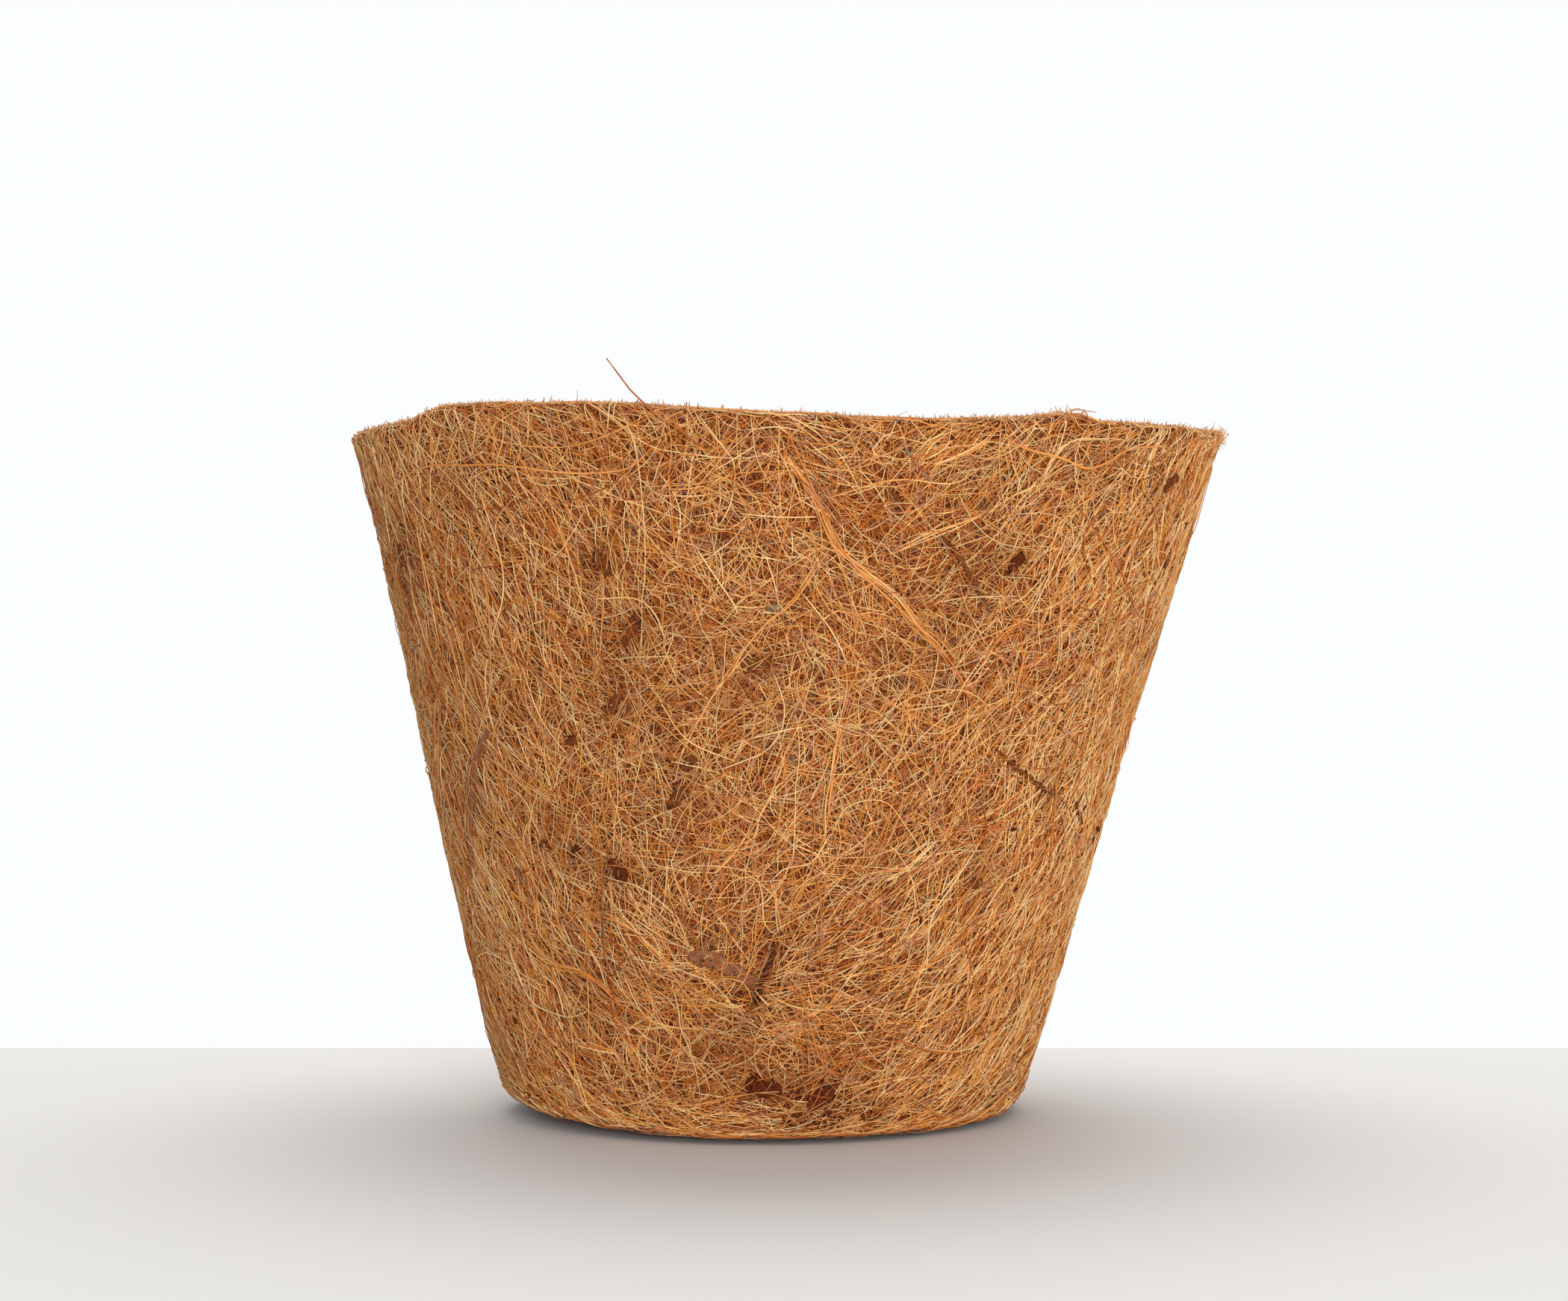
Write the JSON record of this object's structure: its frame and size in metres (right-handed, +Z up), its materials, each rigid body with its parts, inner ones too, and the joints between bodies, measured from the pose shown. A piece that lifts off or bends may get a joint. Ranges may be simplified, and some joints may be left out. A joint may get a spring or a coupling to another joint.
{
  "type": "plant pot",
  "caption": "Tapered round plant pot moulded from bonded coconut-fibre felt, open at the top, with an uneven cut rim and a flat base.",
  "frame": {"origin": "on the table under the middle of the box round the pot", "axes": "+Z up towards the open mouth, -Y towards the front with the tuck, +X to the right seen from the front"},
  "size_m": [0.2016, 0.2014, 0.167],
  "materials": {
    "coir_felt": "rough latex-bonded coir felt",
    "coir_base_felt": "rough latex-bonded coir felt",
    "husk_strip": "matt reddish husk",
    "husk_flake": "matt dark husk",
    "bristle": "satin coir bristle"
  },
  "bodies": {
    "root": {"wall_felt": "coir_felt", "base_disc": "coir_base_felt", "husk_strip_tuck": "husk_strip", "husk_strip_left": "husk_strip", "husk_splinter_right": "husk_strip", "husk_splinter_flank": "husk_strip", "husk_splinter_upper": "husk_strip", "flake_foot_middle": "husk_flake", "flake_foot_pith": "husk_flake", "flake_foot_right": "husk_flake", "flake_low_left": "husk_flake", "flake_low_left_small": "husk_flake", "flake_low_left_flank": "husk_flake", "flake_left_middle": "husk_flake", "flake_middle_upper": "husk_flake", "flake_middle_lower": "husk_flake", "flake_low_right": "husk_flake", "flake_right_flank": "husk_flake", "flake_upper_right": "husk_flake", "flake_rim_right": "husk_flake", "flake_rim_middle": "husk_flake", "flake_centre_grey": "husk_flake", "flake_flank_right": "husk_flake", "flake_upper_left": "husk_flake", "flake_left_flank": "husk_flake", "flake_left_upper": "husk_flake", "flake_left_long": "husk_flake", "flake_centre": "husk_flake", "bristle_rim_left": "bristle", "bristle_centre": "bristle", "bristle_rim_right": "bristle", "bristle_right": "bristle", "bristle_dark": "bristle", "bristle_foot_right": "bristle", "bristle_loose": "bristle"}
  },
  "joints": []
}
